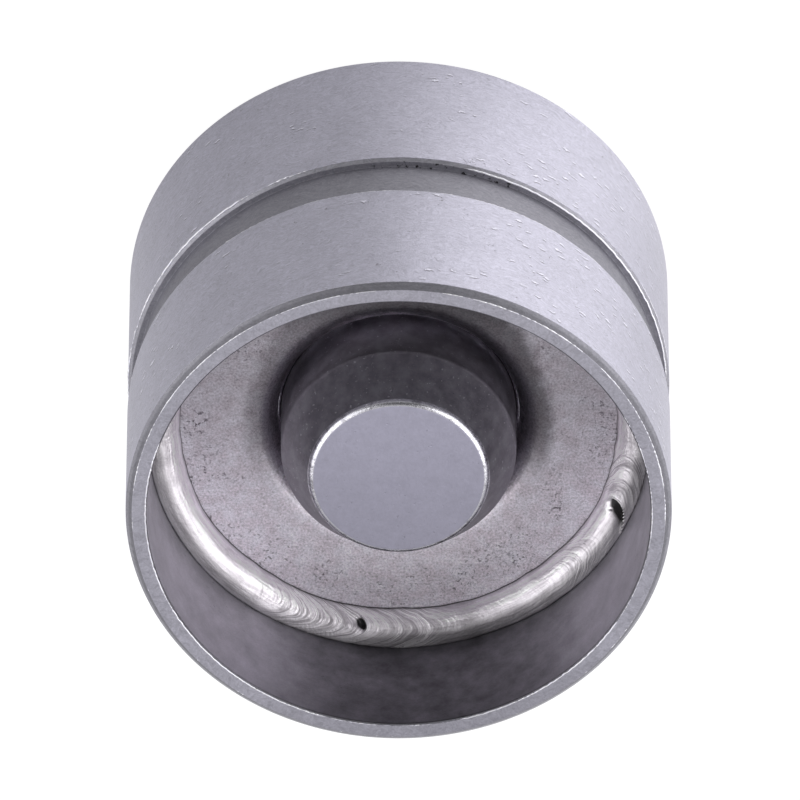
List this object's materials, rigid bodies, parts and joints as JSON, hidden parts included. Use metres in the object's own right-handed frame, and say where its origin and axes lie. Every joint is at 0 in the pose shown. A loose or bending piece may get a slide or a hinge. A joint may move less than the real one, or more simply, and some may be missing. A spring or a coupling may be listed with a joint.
{
  "type": "hydraulic bucket tappet",
  "caption": "Hydraulic bucket tappet with an oil groove round its skirt, a welded guide sleeve and a sprung inner housing that takes up valve lash.",
  "frame": {"origin": "middle of the cam face, the flat outer face of the crown that the part stands on", "axes": "+Z along the tappet's axis, from the cam face towards the open end and the valve"},
  "size_m": [0.033, 0.033, 0.026],
  "materials": {
    "ground_steel": "ground and lightly nicked",
    "drawn_steel": "matt, mottled, with small dark pits",
    "weld_metal": "bright, rippled",
    "hardened_steel": "ground end face, darker hardened sides",
    "ring_wire": "drawn spring wire",
    "lapped_steel": "lapped",
    "ball_steel": "polished bearing steel",
    "pressed_steel": "pressed sheet",
    "fine_spring_wire": "fine spring wire",
    "spring_wire": "spring wire"
  },
  "bodies": {
    "bucket": {"bucket_housing": "ground_steel", "guide_sleeve": "drawn_steel", "weld_bead": "weld_metal", "plunger": "lapped_steel", "ball_cage": "pressed_steel", "ball_spring": "fine_spring_wire", "return_spring": "spring_wire"},
    "element": {"inner_housing": "hardened_steel", "retaining_ring": "ring_wire"},
    "ball": {"check_ball": "ball_steel"}
  },
  "joints": [
    {"name": "element_slide", "type": "slide", "parent": "bucket", "child": "element", "axis": [0, 0, -1], "range_m": [0, 0.003], "stiffness_N_per_m": 3000, "deforming": ["return_spring"]},
    {"name": "check_ball_lift", "type": "slide", "parent": "bucket", "child": "ball", "axis": [0, 0, 1], "range_m": [0, 0.00025], "stiffness_N_per_m": 20, "deforming": ["ball_spring"]}
  ]
}
